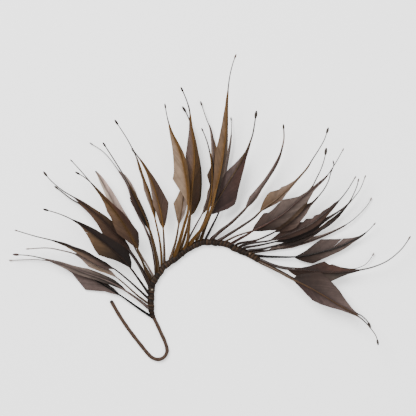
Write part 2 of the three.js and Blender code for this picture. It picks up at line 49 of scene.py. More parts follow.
# Metres. Thin parts are drawn thicker than in the solids, to look as thick as they are meant to
# against a bright floor.
QUILL_RADIUS = 0.0015
RACHIS_RADIUS = 0.00095
STRIPPED_RADIUS = 0.00065
TIP_RADIUS = 0.00045
TUFT_RADIUS = 0.00088
TUFT_LENGTH = 0.004
DROOP = math.radians(7)
BARB_STEP = 0.00056
BARB_RIDGE = 0.00005
BARB_OVERLAP = 0.00003
WIRE_RADIUS = 0.00165
BINDING_RADIUS = 0.0025
BINDING_HEIGHT = 0.0023
BURIED_QUILL = 0.0005
BOUND_HEIGHT = 0.0021
VANE_TAPER = 0.0034
CORE_WIDTH = 0.0018
SLIM_REACH = 0.006
TAPE_PITCH = 0.0031
WIRE_TAPE_PITCH = 0.0042

# The tones of the dyes and of the painted light and shade, and how strongly they are mixed
TONES = dict(
    soot="150e0b", char="271a13", sepia="382720", bark="46332a", umber="59422f", moss="6b523a",
    fawn="7d654f", sand="947c67", wine="3f2f2c", plum="52413d", mauve="695853",
    taupe="7c6b63", rosy="978379", blush="bda69c", gold="6e4c20", amber="4d3518", smoke="4e4640",
    hazel="4e332a", ivory="d8c9b4", ink="070504", russet="46291f", cocoa="2a1608", petal="cfb2a6",
)
DYE_STRENGTH = 0.6
CORE_STRENGTH = 0.75
FLOOR_GLOW = 0.7

SPINE = [
    (153.5, 319), (151.4, 308), (151, 298.8), (151.8, 289), (153, 283), (156, 278), (163, 268.5),
    (174.5, 259), (189, 248.5), (205, 242.3), (224, 243.8), (245, 252.4), (261.6, 261.5),
]
WIRE = [
    (110.6, 300.6), (115.8, 310), (124.4, 323.5), (133, 335.6), (141.7, 346.4), (147.4, 353.5),
    (152, 357.9), (157.7, 359.8), (162.9, 358.2), (166.2, 354), (166.9, 349.9), (164.6, 341.3),
    (161.2, 333.8), (157.2, 325.2), (154.2, 319), (153.4, 316.6),
]

# Each feather's shaft from the bound end to the tip, where its vane starts and ends, the vane's
# outline on each side, its heights in millimetres at the bound end, the vane's ends and the tip,
# its quill's girth, and its tones: left half, right half (each from base to tip) and shaft.
# Some have more: sizes for the tuft and the stripped stalk, and tones for the tuft (fluff), the
# stripped tip, the quill and the core, which is the vane beside the shaft (left and right, or one).
# A slit is a deep split in the vane, reached from an outline point, with its width in the plan.
# Besides the dye, the half tones carry painted light and shade: a half that catches the light is given a
# lighter tone and a half in shade a darker one.
FEATHERS = [
    dict(
        dye="plum", heights=(3.5, 3.4, 2.6, 1), girth=0.95, tuft=0.4, fluff="rosy", stalk=0.8,
        tip="taupe",
        tones_and_shade=("mauve mauve", "ink plum", "ink"),
        shaft=[(152.9, 318), (137, 307.3), (121, 296), (108, 288), (95, 280), (80, 272), (60, 264),
               (40, 260), (8.5, 260.5)],
        vane=[(121, 296), (62, 264.5)],
        left=[(110, 293.4), (100, 290.1), (85, 290), (76, 279), (72, 273.6), (66, 269.5)],
        right=[(114, 288.5), (104, 281.5), (90, 275), (74, 267.5)],
    ),
    # Painted shade: the ink at the base of this feather's right half stands for that half lying in
    # shade.
    dict(
        dye="rose", heights=(3.4, 8, 9, 9), girth=1.1, tuft=1.6, fluff="plum", core="ink",
        tones_and_shade=("ink rosy", "ink rosy", "mauve"),
        shaft=[(151.2, 310.5), (140, 301), (128, 292.5), (114, 284), (100, 278), (84, 272.5),
               (70, 267), (44, 258.8), (30, 255.8), (12.5, 254.4)],
        vane=[(128, 292.5), (46, 259.4)],
        left=[(114, 286.6), (104, 283), (94, 279.6), (84, 276.5), (74, 273), (66, 269.5),
              (58, 265.5)],
        right=[(122, 285.8), (115, 280.2), (110, 277.5), (100, 273), (88, 268.5), (74, 265.6),
               (60, 261.3)],
    ),
    dict(
        dye="sand", heights=(1.8, 12, 13, 15), girth=0.72, tuft=0.5, fluff="rosy", stalk=1.1,
        tip="taupe", quill="umber",
        tones_and_shade=("fawn rosy", "taupe taupe", "taupe"),
        shaft=[(150.8, 305.5), (138, 296), (128, 287), (118, 278.5), (108, 271.5), (97, 265.5),
               (86, 259.8), (75, 254), (62, 250.5), (48, 248), (26, 249)],
        vane=[(118, 278.5), (75, 254)],
        left=[(110, 275), (100, 271.5), (89, 267.2), (82, 260)],
        right=[(112, 271.5), (100, 263), (90, 258), (84, 255)],
    ),
    dict(
        dye="umber", heights=(3.4, 16, 18, 23), girth=0.8, tuft=0.4, fluff="taupe", core="ink",
        tones_and_shade=("plum fawn", "ink bark", "char"),
        shaft=[(150.8, 301), (138, 289), (127, 279), (115, 269.3), (103, 262.5), (90, 255),
               (78, 249.6), (54, 240.8), (36, 236.3), (15, 230)],
        vane=[(115, 269.3), (54, 240.8)],
        left=[(106, 268.6), (96, 264.5), (86, 258.5), (77, 253.5), (66, 246.7)],
        right=[(106, 262), (95, 256), (84, 249.6), (74, 246.3), (66, 243)],
    ),
    # Painted shade: the soot and char of this feather's right half stand for that half lying in shade.
    dict(
        dye="umber", heights=(3.2, 19, 24, 29), girth=1, tuft=1.2, fluff="char",
        tones_and_shade=("soot moss", "soot char", "char"),
        shaft=[(150.9, 297), (140, 281), (131, 268.5), (121, 257), (110, 247), (100, 239),
               (90, 231), (74, 220.4), (60, 214), (43.5, 209)],
        vane=[(131, 268.5), (74, 220.4)],
        left=[(120, 262.5), (110, 258.4), (99, 255.3), (95, 250), (89, 238.5), (83.5, 229.5),
              (80, 225.5)],
        right=[(131.8, 262), (129, 252.5), (124, 246.5), (115, 241), (104, 234.3), (96, 229.4),
               (88, 225.4), (81, 222.2)],
        slits=[(85.5, 231, 0.9, 0.45, 1)],
    ),
    dict(
        dye="sepia", heights=(3.4, 8, 13, 18), girth=1.05, tuft=1.4,
        tones_and_shade=("sepia umber", "char umber", "sepia"),
        shaft=[(151.8, 288), (146, 276), (141, 267.5), (129.5, 250), (120, 239), (111, 229),
               (101, 218.5), (90, 209), (77.5, 199.6), (62, 190), (50, 179.5), (43.5, 171.5)],
        vane=[(129.5, 250), (75.5, 198.2)],
        left=[(121, 249.5), (112, 243.5), (103, 234.5), (98.5, 226.5), (94.6, 220), (89, 212.5),
              (83, 207)],
        right=[(129.5, 247), (126, 241), (118, 228), (112, 221), (105.5, 215.8), (98, 210.8),
               (91, 206.3), (84.5, 202)],
    ),
    dict(
        dye="sepia", heights=(1.6, 3, 3, 1), girth=0.85, tuft=0.8, stalk=1.2, quill="bark",
        tones_and_shade=("mauve taupe", "mauve mauve", "plum"),
        shaft=[(151.5, 291.5), (144.5, 277), (137, 263), (127, 249.5), (115, 236), (103, 223.5),
               (93, 213.5), (80, 204.3), (70, 198.3), (60, 190.5), (54, 186)],
        vane=[(125, 247.3), (80, 204.3)],
        left=[(112, 239), (95, 221.5)],
        right=[(116, 232.5), (94, 210.5)],
    ),
    dict(
        dye="umber", heights=(3.4, 18, 24, 30), girth=1.05, fluff="char", core="amber",
        tones_and_shade=("bark moss", "char russet", "amber"),
        shaft=[(152.2, 282.2), (146, 270.5), (138, 249.5), (131, 236.5), (123, 223), (115.5, 212),
               (107, 201.5), (99, 191.5), (93, 184.5), (85, 177.5), (75.7, 172)],
        vane=[(138, 249.3), (96, 188)],
        left=[(130, 243.5), (122, 237), (117, 233), (113.5, 225), (111, 218), (107.3, 212),
              (103, 200)],
        right=[(139.3, 240), (139, 236), (138.8, 232.5), (134, 226), (124, 213.5), (115, 205.5),
               (107, 197.8)],
    ),
    dict(
        dye="taupe", heights=(1.6, 13, 18, 25), girth=0.75, tuft=0.4, stalk=1,
        tones_and_shade=("fawn fawn", "mauve mauve", "umber"),
        shaft=[(153.8, 281.5), (147, 270), (139, 255.5), (131, 241), (121, 225), (111, 210),
               (101, 196), (92, 184), (82, 172), (70.7, 159.6)],
        vane=[(131, 241), (101, 196)],
        left=[(120, 229), (108, 211)],
        right=[(127.5, 228), (115, 208.5)],
    ),
    dict(
        dye="rose", heights=(3.4, 9, 13, 16), girth=0.75, tuft=0.3,
        tones_and_shade=("petal ivory", "smoke petal", "rosy"),
        shaft=[(155, 279), (147.8, 266.5), (136.5, 247), (129, 233), (121.5, 218), (113.5, 202),
               (106, 188.5), (100, 177.8), (95.5, 171)],
        vane=[(136.5, 247), (96.2, 172)],
        left=[(131, 241.5), (120.5, 222), (112, 207.5), (107.5, 200), (103.2, 190), (99.2, 181),
              (97, 175)],
        right=[(135.5, 232), (131.5, 222.5), (124, 210.5), (118, 200), (112, 190), (105.3, 180.5),
               (100, 174.3)],
    ),
    dict(
        dye="sepia", heights=(3.4, 11, 15, 22), girth=1.5, fluff="char", stalk=1.2,
        tones_and_shade=("ink bark", "ink umber", "amber"),
        shaft=[(157.6, 275), (157.4, 264), (154.9, 250), (151, 234), (146.5, 221.5), (141, 209),
               (135.5, 197.5), (131, 188), (123, 174), (113, 158), (103, 142.5)],
        vane=[(151, 234), (129.5, 185.5)],
        left=[(145, 225), (137, 212.5), (132, 205), (129.8, 200), (130.4, 194.5), (129.8, 189.5)],
        right=[(149.6, 224), (144.5, 210.5), (140, 201), (135.5, 193)],
        slits=[(129.6, 199.5, 1.4, 0.45, 1), (130.6, 194.6, 1.2, 0.5, 1)],
    ),
    dict(
        dye="sepia", heights=(1.5, 3, 3, 1.5), girth=1.35, tuft=0.4, stalk=0.7, quill="bark",
        tones_and_shade=("mauve taupe", "mauve rosy", "mauve"),
        shaft=[(156.3, 277), (155.7, 266), (152.9, 250), (149.6, 238.5), (147, 232.5), (141, 219),
               (135.5, 206.5), (131.5, 196), (127, 184.5), (118, 170), (104, 152.5), (89.5, 142.6)],
        vane=[(147, 232.5), (119.5, 172)],
        left=[(139.5, 220), (132, 204), (128, 190), (123.8, 180.5)],
        right=[(143.5, 219.5), (139.5, 203), (136.2, 192.5), (131, 182.5), (125, 174.5)],
    ),
    dict(
        dye="umber", heights=(1.8, 5.5, 9, 13), girth=0.9, tuft=0.8, core="amber",
        tones_and_shade=("rosy fawn", "char soot", "gold"),
        shaft=[(161.5, 270.3), (161.4, 258), (159.5, 240), (154.3, 216), (151.5, 203.5),
               (148.5, 192.5), (144.5, 180.5), (139.5, 165), (136, 156.5), (131.6, 148)],
        vane=[(155.6, 222), (137.2, 158.5)],
        left=[(151.5, 211), (147.3, 200), (143.7, 190), (142.2, 180), (138.2, 168)],
        right=[(155.5, 211), (152.3, 200), (149.5, 190), (145.4, 180), (140.8, 168)],
    ),
    dict(
        dye="umber", heights=(3.4, 14, 20, 28), girth=0.95, tuft=1.3, fluff="char", quill="umber",
        core="amber",
        tones_and_shade=("umber rosy", "bark bark", "gold"),
        shaft=[(164.5, 266.8), (164.3, 250), (163.3, 229.5), (161.3, 214.5), (158.3, 202),
               (154.7, 190), (150.2, 178), (141.5, 161.5), (134, 151), (127, 138.5), (115, 120)],
        vane=[(163.3, 229.5), (140.2, 159.5)],
        left=[(159.5, 223), (153, 204.5), (151, 190), (146, 172)],
        right=[(166.2, 221), (168.8, 203), (160.5, 187.5), (150, 171.5)],
    ),
    dict(
        dye="sand", heights=(3.6, 18, 25, 33), girth=1.4, tuft=0.8, core="gold",
        tones_and_shade=("sand sand", "amber moss", "gold"),
        shaft=[(173.5, 259.3), (178, 247), (184, 226), (188, 212), (188.4, 200), (187.2, 187),
               (185.2, 174), (182, 158.5), (177.5, 145), (170.3, 128), (167.3, 117), (165, 104)],
        vane=[(188.1, 211), (169.6, 125)],
        left=[(187, 203.5), (180.2, 190), (172.6, 179), (173.8, 172), (173.4, 160), (172.5, 150),
              (170.8, 140), (169.3, 131)],
        right=[(190, 200), (188.8, 175), (187.5, 165), (184.2, 154), (179.8, 145), (174.8, 136)],
    ),
    dict(
        dye="taupe", heights=(3.3, 12, 17, 26), girth=1.15, fluff="char", stalk=1.2, core="gold amber",
        tones_and_shade=("umber mauve", "cocoa amber", "gold"),
        shaft=[(181.8, 253.5), (187.3, 242), (188.8, 230), (190.2, 216.5), (190.8, 205), (192, 190),
               (193.6, 175), (194.5, 160), (194, 146), (190.6, 118), (189, 108), (185.5, 97.5),
               (180.9, 87.3)],
        vane=[(190.2, 216.5), (190.1, 115)],
        left=[(188.2, 200), (186, 185), (185.8, 170), (185.5, 155), (187.3, 142), (188.9, 130)],
        right=[(194, 209), (199, 199), (200.4, 185), (200, 165), (197.8, 149), (195.2, 137),
               (192.8, 127)],
    ),
    dict(
        dye="sepia", heights=(1.5, 3.6, 4.5, 2), girth=1.1, tuft=1.5, fluff="char", stalk=1.1,
        tones_and_shade=("char char", "amber soot", "gold"),
        shaft=[(177.8, 256.5), (183.3, 241), (187, 228), (189.5, 216.5), (193.3, 202), (196.1, 186),
               (197, 170), (196, 155), (191, 125), (186, 112.5), (182.3, 106.2)],
        vane=[(189.5, 216.5), (191, 125)],
        left=[(191, 200), (192.5, 178), (191.8, 150)],
        right=[(194.5, 213), (200.8, 199.5), (202, 180), (201.3, 168), (198.3, 152)],
    ),
    dict(
        dye="sand", heights=(1.7, 4.5, 5, 3), girth=1,
        tones_and_shade=("fawn sand", "rosy sand", "moss"),
        shaft=[(168.6, 263), (173, 250.5), (176, 240), (178.5, 226), (181.2, 211.5), (182.9, 198.5),
               (183.1, 186), (182.3, 172), (180, 158), (177, 146)],
        vane=[(178.5, 226), (180.9, 163)],
        left=[(176, 216), (173.3, 203.2), (180, 189.5), (180, 175)],
        right=[(184.5, 215), (187.5, 203), (185.5, 180)],
    ),
    dict(
        dye="taupe", heights=(3.6, 19, 29, 43), girth=1.3, tuft=0.8, fluff="taupe", core="gold soot",
        tones_and_shade=("umber fawn", "soot fawn", "gold"),
        shaft=[(187.8, 247.6), (191.8, 241.5), (197, 235), (203.3, 227), (211.8, 208),
               (214.6, 196.5), (217.5, 185), (220.3, 173), (222.6, 160.5), (224.5, 147),
               (226.4, 130), (227.5, 97), (229.5, 78), (232.5, 65), (236, 55)],
        vane=[(211.3, 209.5), (227.9, 92.5)],
        left=[(212, 196), (213.3, 180), (214.2, 165), (215.3, 152), (218, 142), (220.6, 130),
              (222.8, 118), (224.9, 106)],
        right=[(217.2, 198), (221, 184), (223.5, 174), (226, 160), (227.8, 148), (228, 130),
               (228.2, 112)],
        slits=[(224.6, 106, 0.7, 0.3, 1)],
    ),
    dict(
        dye="umber", heights=(1.6, 3.4, 4, 1.5), girth=0.75, tuft=0.8, stalk=0.8,
        tones_and_shade=("moss blush", "umber umber", "mauve"),
        shaft=[(185.3, 251.2), (188, 241), (196.5, 224), (202, 214.3), (206.5, 203), (210, 190),
               (212.3, 176), (213.4, 162), (213.5, 148), (210.9, 130), (206.5, 119), (200.4, 101)],
        vane=[(201.5, 215.2), (209.5, 126.5)],
        left=[(203.5, 207), (206.3, 199), (207.2, 192.5), (209.6, 186), (210.6, 168), (211, 150),
              (210.3, 136)],
        right=[(207, 210), (211.5, 205.5), (214.5, 199), (216.5, 186), (217.5, 160), (216.5, 147),
               (213.5, 137)],
    ),
    # Painted shadow: this feather's right half is soot all along, standing for the shaded gap between it
    # and the next vane.
    dict(
        dye="umber", heights=(1.8, 9, 12, 17), girth=1.1, tuft=0.6, stalk=1.1,
        tones_and_shade=("char umber", "soot soot", "gold"),
        shaft=[(195.3, 244.8), (199.5, 233), (205, 220), (208.6, 209), (210.8, 197), (212, 184),
               (212.1, 172), (211.6, 162), (210.2, 154), (207.5, 143), (205, 136), (201.5, 128)],
        vane=[(209.5, 204.5), (210.2, 154)],
        left=[(209.9, 186), (206.8, 175.5), (210.7, 166.5)],
        right=[(213.4, 194), (215, 183), (215.2, 172), (213.6, 163)],
    ),
    dict(
        dye="taupe", heights=(1.6, 3.2, 4, 1.2), girth=0.85, tuft=0.4, stalk=0.7, quill="char",
        tones_and_shade=("rosy taupe", "taupe mauve", "taupe"),
        shaft=[(204, 242.4), (211.5, 227.5), (219.3, 211), (222, 198), (224.5, 185), (226.3, 172),
               (228, 160), (229.8, 148), (231.2, 136), (231.5, 127), (231, 117)],
        vane=[(221, 204), (231.2, 136)],
        left=[(219.2, 192), (220.6, 180), (223, 168), (226, 157), (228.4, 147)],
        right=[(225.3, 180), (227, 171), (228.6, 162), (230.6, 150)],
    ),
    dict(
        dye="sepia", heights=(3.2, 13, 18, 29), girth=1.2, tuft=2.2, stalk=1.3, tip="smoke",
        tones_and_shade=("plum mauve", "wine hazel", "amber"),
        shaft=[(199.6, 243.6), (204, 231), (210.7, 214.5), (216, 203), (223.5, 190.5),
               (231.5, 177.5), (239, 165), (249, 145), (252.5, 135), (254.8, 122), (256.3, 111)],
        vane=[(210.7, 214.5), (250, 142)],
        left=[(214, 203), (216.5, 194), (220, 182), (226, 172), (230, 168), (235, 163.3),
              (240.3, 157.6), (245.4, 151)],
        right=[(219, 212.2), (228, 209), (234.5, 205), (236.5, 200), (238.5, 190), (242.3, 175),
               (246.5, 158)],
    ),
    dict(
        dye="umber", heights=(2.2, 9, 15, 23), girth=1.3, stalk=1.4, tip="rosy", quill="bark",
        tones_and_shade=("mauve taupe", "bark rosy", "bark"),
        shaft=[(208.6, 242.2), (220, 231.5), (231, 223), (244.5, 209.8), (254.5, 197.5),
               (261.3, 188.5), (267.3, 180), (278.6, 159.8), (282.1, 148), (283.9, 138),
               (283.2, 124.3)],
        vane=[(244.5, 209.8), (281.9, 149)],
        left=[(247, 202.5), (249.3, 196.5), (254.2, 191), (258.5, 186), (263.1, 180.5),
              (267.1, 174.8), (271.6, 168), (275.6, 161), (279.2, 154)],
        right=[(252, 204), (257, 198.5), (261.8, 190), (266.1, 183.5), (271, 176), (275.4, 169),
               (278.6, 162.5)],
    ),
    dict(
        dye="taupe", heights=(3.4, 11, 18, 27), girth=1.1, tuft=1.4, quill="bark", core="moss",
        tones_and_shade=("moss rosy", "umber blush", "moss"),
        shaft=[(215, 242.7), (224, 237.5), (246, 223.5), (254, 217.8), (260.3, 211.7), (268, 205.5),
               (277, 199), (285, 192), (292, 185), (306.3, 169.2), (312, 160), (319, 149),
               (324, 140), (328.1, 127.7)],
        vane=[(260.3, 211.7), (309, 164.8)],
        left=[(262.5, 203), (264.5, 198.5), (267, 194.5), (270, 191.7), (279, 189.4),
              (281.3, 186.9), (286, 185.3), (293.5, 181), (296, 179)],
        right=[(265, 209.7), (275, 204.5), (282, 200.3), (286.5, 194), (291.5, 188), (297, 181.5),
               (303, 174.5)],
    ),
    dict(
        dye="plum", heights=(3.5, 21, 27, 38), girth=1.1, tuft=0.4, fluff="rosy", stalk=0.8,
        tones_and_shade=("sepia taupe", "char taupe", "russet"),
        shaft=[(229, 245.2), (240, 238.6), (247, 234.8), (252, 231.3), (262, 226.5), (272, 221),
               (283, 214), (292, 206.3), (312.5, 188.5), (325.6, 177.2), (334, 165),
               (343.2, 148.5)],
        vane=[(252, 231.3), (326.5, 176.5)],
        left=[(256, 223), (261, 216), (263.5, 213), (268.5, 212.6), (273, 209), (277.5, 204),
              (282.5, 199.6), (290.5, 198.2), (298.5, 196.3), (306, 191.8), (312.3, 187),
              (319, 181.3)],
        right=[(262, 231.3), (270, 230.3), (280, 226), (290, 218), (300, 208), (308.5, 200.5),
               (313.5, 191.5), (320.5, 184)],
    ),
    dict(
        dye="taupe", heights=(1.8, 16.5, 22.5, 32), girth=0.7, tuft=2,
        tones_and_shade=("umber fawn", "bark fawn", "umber"),
        shaft=[(221, 243.9), (236, 236.3), (250, 231.5), (263, 227.3), (275, 222), (287, 214),
               (297, 205), (311.5, 187.5), (316.5, 178), (321, 168.5), (324.3, 158), (325.9, 148)],
        vane=[(257, 229.5), (311.5, 187.5)],
        left=[(270, 221.5), (290, 207)],
        right=[(279, 229.8), (299, 214), (307, 204.5)],
    ),
    dict(
        dye="umber", heights=(3.4, 13.5, 19, 26), girth=0.85, tuft=0.5,
        tones_and_shade=("sepia fawn", "bark taupe", "bark"),
        shaft=[(233, 247.4), (238, 244), (245, 242.2), (252, 241.2), (258, 239.7), (266, 236.3),
               (274, 232.3), (286, 225), (295, 218), (304, 209.5), (317, 197.8), (323, 190.5),
               (328, 181.5), (330.5, 173), (333.4, 165), (332.7, 160.5)],
        vane=[(274, 232.3), (317, 197.8)],
        left=[(287, 220), (307, 203.8), (312, 201.8)],
        right=[(283, 231.5), (290, 230.5), (296, 227.5), (300.5, 221.5), (306.5, 214), (311, 206)],
    ),
    dict(
        dye="umber", heights=(3.4, 10.5, 15.5, 23), girth=0.95, tuft=0.4, fluff="taupe",
        tones_and_shade=("bark plum", "sepia bark", "sepia"),
        shaft=[(236.5, 249.2), (242, 245.8), (250, 243.6), (260, 242.1), (269, 240.8), (283, 236.3),
               (295, 231.8), (307, 226.5), (317, 220), (338.5, 201), (347, 190.5), (355.8, 176)],
        vane=[(269, 241), (338.5, 201)],
        left=[(280, 232), (290, 225.5), (300, 222), (304, 221.8), (305.8, 218.7), (312.3, 218.2),
              (314.6, 215.2), (319.5, 213.8), (323, 210.6), (329, 207.2), (334, 203)],
        right=[(290, 238.3), (314, 228), (327, 216.5)],
    ),
    dict(
        dye="sepia", heights=(1.6, 7.5, 12, 18), girth=0.9, tuft=0.5, fluff="taupe",
        tones_and_shade=("sepia umber", "ink sepia", "sepia"),
        shaft=[(240, 251), (244.5, 248), (251, 246.6), (259, 245.3), (266, 243.9), (277, 241.3),
               (290, 237.8), (303, 232.8), (315, 226.3), (345, 206.8), (350, 201), (354.5, 192),
               (357, 185.5), (358.6, 178.5)],
        vane=[(272, 242.6), (346.5, 204.8)],
        left=[(296, 231.5), (318, 222.5), (326.5, 217.2), (334, 213.2), (341, 208.8)],
        right=[(290, 242), (303, 237.5), (312, 233.5), (326, 221.5), (336, 214.3), (342, 209.8)],
    ),
    dict(
        dye="sepia", heights=(3, 4.6, 8, 12), girth=1, tuft=0.4, fluff="taupe", stalk=0.8,
        tones_and_shade=("mauve umber", "soot bark", "char"),
        shaft=[(244, 253), (248.5, 250.9), (256, 249.9), (264, 248.8), (271, 246.9), (283, 244.3),
               (297, 240.8), (310, 235.7), (320, 230.6), (328, 225.2), (344, 209.3), (352.5, 199.5),
               (360, 189.5), (365.8, 175)],
        vane=[(274, 246.3), (345.5, 207.5)],
        left=[(297, 236.3), (310, 232), (317, 229), (327, 221.5), (335, 215.8), (342, 210)],
        right=[(297, 245), (311, 238), (322, 230.5), (333, 223), (339, 217.5), (343.3, 212)],
    ),
    dict(
        dye="plum", heights=(1.6, 2.4, 3, 1.2), girth=1, tuft=0.4, fluff="rosy", stalk=0.8,
        tones_and_shade=("rosy rosy", "plum mauve", "sepia"),
        shaft=[(248, 255), (252.5, 252.9), (260, 251.6), (266, 251), (273, 250), (286, 247.5),
               (300, 243.9), (313, 240), (338, 229.4), (352, 220.8), (362, 211.8), (368.5, 204),
               (372.1, 197.5)],
        vane=[(268, 250.7), (344.5, 225.7)],
        left=[(276, 244.6), (297, 239), (322, 234.6)],
        right=[(293, 248), (312, 242), (326, 236.3), (337, 231)],
    ),
    dict(
        dye="sepia", heights=(3.7, 4.2, 6, 10), girth=1, tuft=0.4, fluff="taupe", stalk=0.8,
        tones_and_shade=("char mauve", "char taupe", "soot"),
        shaft=[(250, 254.6), (255, 255.5), (263, 256.4), (278, 257), (294, 257), (307, 255.6),
               (318, 253.2), (330, 250), (342, 245.8), (361, 236.3), (369, 230), (375.7, 222.7)],
        vane=[(294, 257), (364.5, 233.6)],
        left=[(304, 251.8), (312, 246.6), (317, 242), (321, 239.2), (330, 239), (343, 238.4),
              (352, 237.8), (359, 236)],
        right=[(300, 260), (306, 262.3), (313, 263.7), (316, 262.5), (323, 259.2), (332, 255.2),
               (340, 251.6), (347, 247.6), (353, 243)],
        slits=[(343.5, 239, 1.9, 0.8, 1)],
    ),
    dict(
        dye="umber", heights=(3.5, 9, 12, 18), girth=1.05, tuft=0.7, fluff="taupe", stalk=1.1,
        tones_and_shade=("soot hazel", "sepia smoke", "sepia"),
        shaft=[(257.5, 258.6), (266, 262.2), (278, 267), (290, 269.5), (304, 270.6), (318, 272),
               (332, 272.8), (345, 272.2), (360, 270), (372, 267.3), (387, 261), (400, 250.5),
               (406, 243), (410.3, 236)],
        vane=[(287.5, 269), (360, 270)],
        left=[(300, 268.8), (310, 266.3), (320, 262.7), (324.5, 261.2), (329.7, 264.7),
              (332.3, 264), (340, 266.7), (345, 268.9)],
        right=[(295, 275.5), (304, 279), (318, 283), (331.5, 281.3), (340, 277.4), (348, 274.2)],
    ),
    dict(
        dye="taupe", heights=(1.5, 3.2, 3.4, 1.5), girth=0.85, tuft=0.4, fluff="taupe", stalk=0.7,
        tones_and_shade=("soot sepia", "soot char", "bark"),
        shaft=[(258.5, 258.8), (268, 262.8), (280, 266.6), (297, 268.4), (310, 268.4), (322, 268.9),
               (335, 269.4), (352, 269.4), (359, 267.7), (365, 265), (370, 260), (374.5, 253)],
        vane=[(297, 268.4), (352, 269.4)],
        left=[(324, 264)],
        right=[(312, 272), (335, 272.5)],
    ),
    dict(
        dye="umber", heights=(3.5, 14, 17, 21), girth=1.1, tuft=1.3,
        tones_and_shade=("char mauve", "wine mauve", "umber"),
        shaft=[(256.5, 260.6), (268, 266.1), (280, 272.3), (292.5, 279.4), (303, 284.3), (314, 290),
               (326, 297), (338, 304.5), (357.5, 315.8), (365, 322), (371.5, 329.5), (376, 336.5),
               (378, 345)],
        vane=[(292.5, 279.4), (357.5, 315.8)],
        left=[(296, 275.8), (303, 273.6), (312, 272.3), (321, 272.3), (331.5, 281.5), (340, 291),
              (345.5, 299.5), (352, 308)],
        right=[(297, 284.5), (306, 294), (312.5, 300.4), (320, 304.2), (330, 307.4), (340, 310),
               (348, 313)],
    ),
    dict(
        dye="taupe", heights=(1.5, 3, 3, 1), girth=1, tuft=1.6,
        tones_and_shade=("bark umber", "sepia bark", "bark"),
        shaft=[(257.5, 260.9), (270, 266.4), (284, 273.3), (297, 280.2), (309, 286), (321, 292.3),
               (333, 299.8), (357, 313.6), (362, 316), (368, 321.8), (370.8, 328.5)],
        vane=[(300, 281.6), (357, 313.6)],
        left=[(326, 289), (345, 302)],
        right=[(312, 294), (335, 305.5)],
    ),
]


# Places plan points at heights
def on_plan(points, heights=0.0):
    points = np.asarray(points, float)
    out = np.empty((len(points), 3))
    out[:, 0] = (points[:, 0] - PLAN_MIDDLE[0]) * UNIT
    out[:, 1] = (PLAN_MIDDLE[1] - points[:, 1]) * UNIT
    out[:, 2] = heights
    return out


# Evenly spaced points along a smooth line through plan points
def smooth_line(points):
    p = on_plan(points)
    p = np.vstack([2 * p[0] - p[1], p, 2 * p[-1] - p[-2]])
    dense = []
    for i in range(1, len(p) - 2):
        a, b, c, d = p[i - 1:i + 3]
        ab, bc, cd = (math.sqrt(np.linalg.norm(v)) for v in (b - a, c - b, d - c))
        first = ((b - a) / ab - (c - a) / (ab + bc) + (c - b) / bc) * bc
        second = ((c - b) / bc - (d - b) / (bc + cd) + (d - c) / cd) * bc
        t = np.linspace(0, 1, 60, endpoint=i == len(p) - 3)[:, None]
        curve = b + first * t + (3 * (c - b) - 2 * first - second) * t ** 2
        dense.append(curve + (2 * (b - c) + first + second) * t ** 3)
    dense = np.vstack(dense)
    travelled = np.r_[0, np.cumsum(np.linalg.norm(np.diff(dense, axis=0), axis=1))]
    even = np.linspace(0, travelled[-1], LINE_STEPS + 1)
    return np.stack([np.interp(even, travelled, dense[:, k]) for k in range(3)], axis=1), travelled[-1]


# Where along a line, from 0 to 1, it passes nearest to a plan point, and how far off it is
def stand_on(line, point):
    gaps = np.linalg.norm(line - on_plan([point]), axis=1)
    nearest = int(np.argmin(gaps))
    return nearest / (len(line) - 1), gaps[nearest]


# A smooth value between rows of (position, value)
def ease_between(rows, place):
    x, y = (np.array(column, float) for column in zip(*rows))
    slope = np.array([(y[min(j + 1, len(y) - 1)] - y[max(j - 1, 0)])
                      / (x[min(j + 1, len(x) - 1)] - x[max(j - 1, 0)]) for j in range(len(x))])
    cell = np.clip(np.searchsorted(x, place, side="right") - 1, 0, len(x) - 2)
    span = x[cell + 1] - x[cell]
    t = np.clip((place - x[cell]) / span, 0, 1)
    lean = t * (1 - t) * ((1 - t) * slope[cell] - t * slope[cell + 1]) * span
    return y[cell] + (y[cell + 1] - y[cell]) * (3 - 2 * t) * t * t + lean


# A dye's tone as light, in a row of three
def tone(name):
    raw = np.array([int(TONES[name][i:i + 2], 16) for i in (0, 2, 4)]) / 255
    light = np.where(raw <= 0.04045, raw / 12.92, ((raw + 0.055) / 1.055) ** 2.4)
    return light * DYE_STRENGTH


# A line with its heights: gives points, directions, sideways and upward vectors along it
class Route:
    def __init__(self, points, rise):
        self.line, self.length = smooth_line(points)
        along = np.linspace(0, 1, len(self.line))
        self.line[:, 2] = ease_between(rise, along)
        self.ahead = np.gradient(self.line, axis=0)
        self.ahead /= np.linalg.norm(self.ahead, axis=1)[:, None]

    def read(self, table, along):
        steps = np.linspace(0, 1, len(self.line))
        return np.stack([np.interp(along, steps, table[:, k]) for k in range(3)], axis=-1)

    def axes(self, along):
        ahead = self.read(self.ahead, along)
        ahead /= np.linalg.norm(ahead, axis=-1, keepdims=True)
        side = np.stack([-ahead[..., 1], ahead[..., 0], np.zeros(ahead.shape[:-1])], axis=-1)
        side /= np.linalg.norm(side, axis=-1, keepdims=True)
        return self.read(self.line, along), ahead, side, np.cross(ahead, side)
